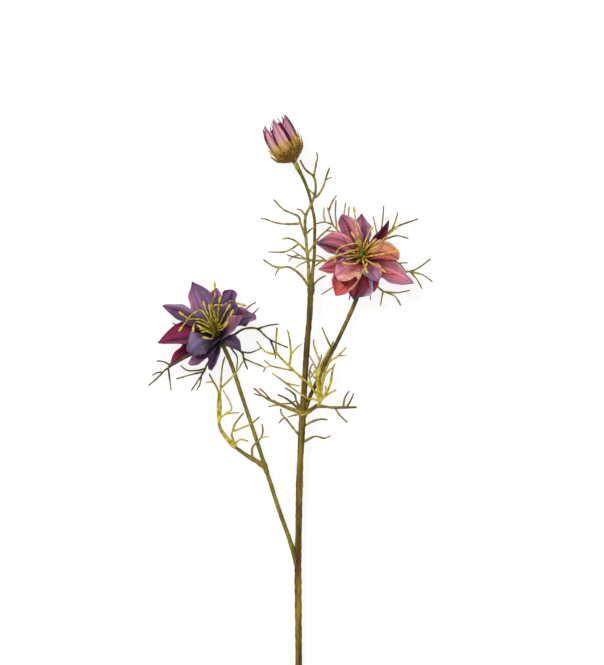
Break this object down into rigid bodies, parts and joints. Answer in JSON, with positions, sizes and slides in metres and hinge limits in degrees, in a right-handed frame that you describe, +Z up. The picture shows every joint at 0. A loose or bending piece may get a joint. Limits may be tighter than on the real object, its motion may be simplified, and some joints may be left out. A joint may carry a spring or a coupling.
{
  "type": "nigella flower spray",
  "caption": "Cut nigella (love-in-a-mist) spray that lies flat: a violet and a coral-pink bloom, an opening bud and thread-like leaves on a branched stem.",
  "frame": {"origin": "on the table under the middle of the spray's outline, so z = 0 is the surface it lies on", "axes": "+Y runs along the stem from its cut foot to the bud, +X to the side of the pink bloom, +Z up from the table"},
  "size_m": [0.2, 0.4236, 0.0359],
  "materials": {
    "stem_wrap": "waxy olive-brown with reddish patches",
    "leaf_thread": "matt yellow-olive with brown tips",
    "violet_petal": "soft matt, violet to magenta",
    "coral_petal": "soft matt, coral with lavender edges",
    "stamen": "matt yellow with ochre clubs",
    "ovary": "matt green",
    "bud_petal": "soft matt, pink fading to peach"
  },
  "bodies": {
    "root": {"stem": "stem_wrap", "leaf_whorl": "leaf_thread", "upper_frond": "leaf_thread", "side_frond": "leaf_thread", "violet_bracts": "leaf_thread", "violet_petals": "violet_petal", "violet_stamens": "stamen", "violet_ovary": "ovary", "pink_bracts": "leaf_thread", "pink_petals": "coral_petal", "pink_stamens": "stamen", "pink_ovary": "ovary", "bud_needles": "leaf_thread", "bud_petals": "bud_petal"}
  },
  "joints": []
}
